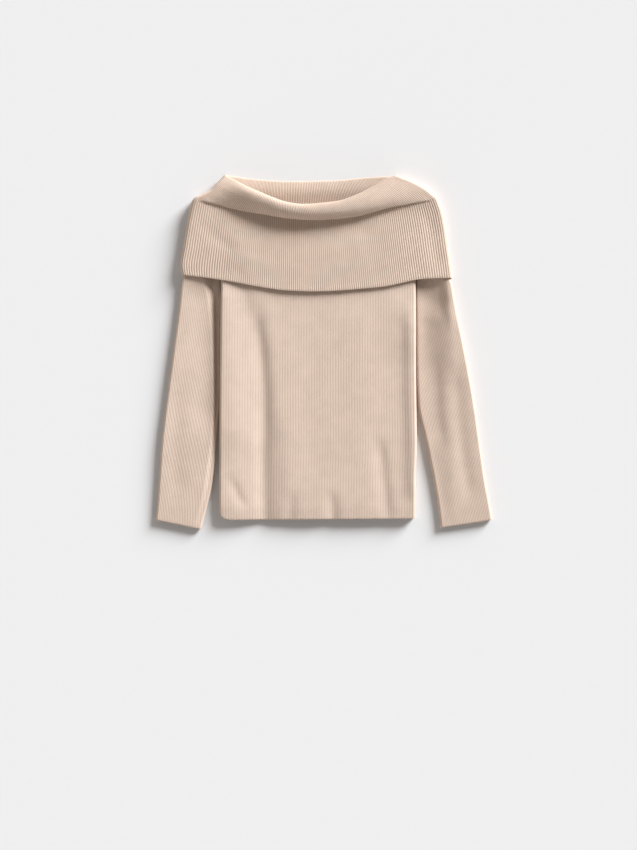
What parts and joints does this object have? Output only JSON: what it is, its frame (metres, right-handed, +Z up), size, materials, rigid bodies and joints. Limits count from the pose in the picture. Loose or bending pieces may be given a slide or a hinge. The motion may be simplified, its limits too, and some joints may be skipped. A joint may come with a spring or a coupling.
{
  "type": "collared sweater",
  "caption": "Ribbed knit sweater with long sleeves and a deep turned-over off-the-shoulder collar, laid flat with its front up.",
  "frame": {"origin": "centre of the bounding box, on the surface that the sweater lies on", "axes": "+X to the right as seen from above with the collar at the top, +Y from the hem towards the collar, +Z up from the surface, through back and front"},
  "size_m": [0.6068, 0.6374, 0.0404],
  "materials": {
    "body_rib_knit": "matt sand-coloured fine rib knit, ribs about 5 mm apart, running up the body",
    "sleeve_rib_knit": "matt sand-coloured fine rib knit, ribs about 5 mm apart, slanting across the flat sleeve",
    "collar_rib_knit": "matt sand-coloured finer rib knit, ribs under 4 mm apart, running up the collar"
  },
  "bodies": {
    "root": {"body_front": "body_rib_knit", "body_back": "body_rib_knit", "sleeve_left": "sleeve_rib_knit", "sleeve_left_forearm": "sleeve_rib_knit", "sleeve_right": "sleeve_rib_knit", "sleeve_right_forearm": "sleeve_rib_knit", "collar": "collar_rib_knit"}
  },
  "joints": []
}
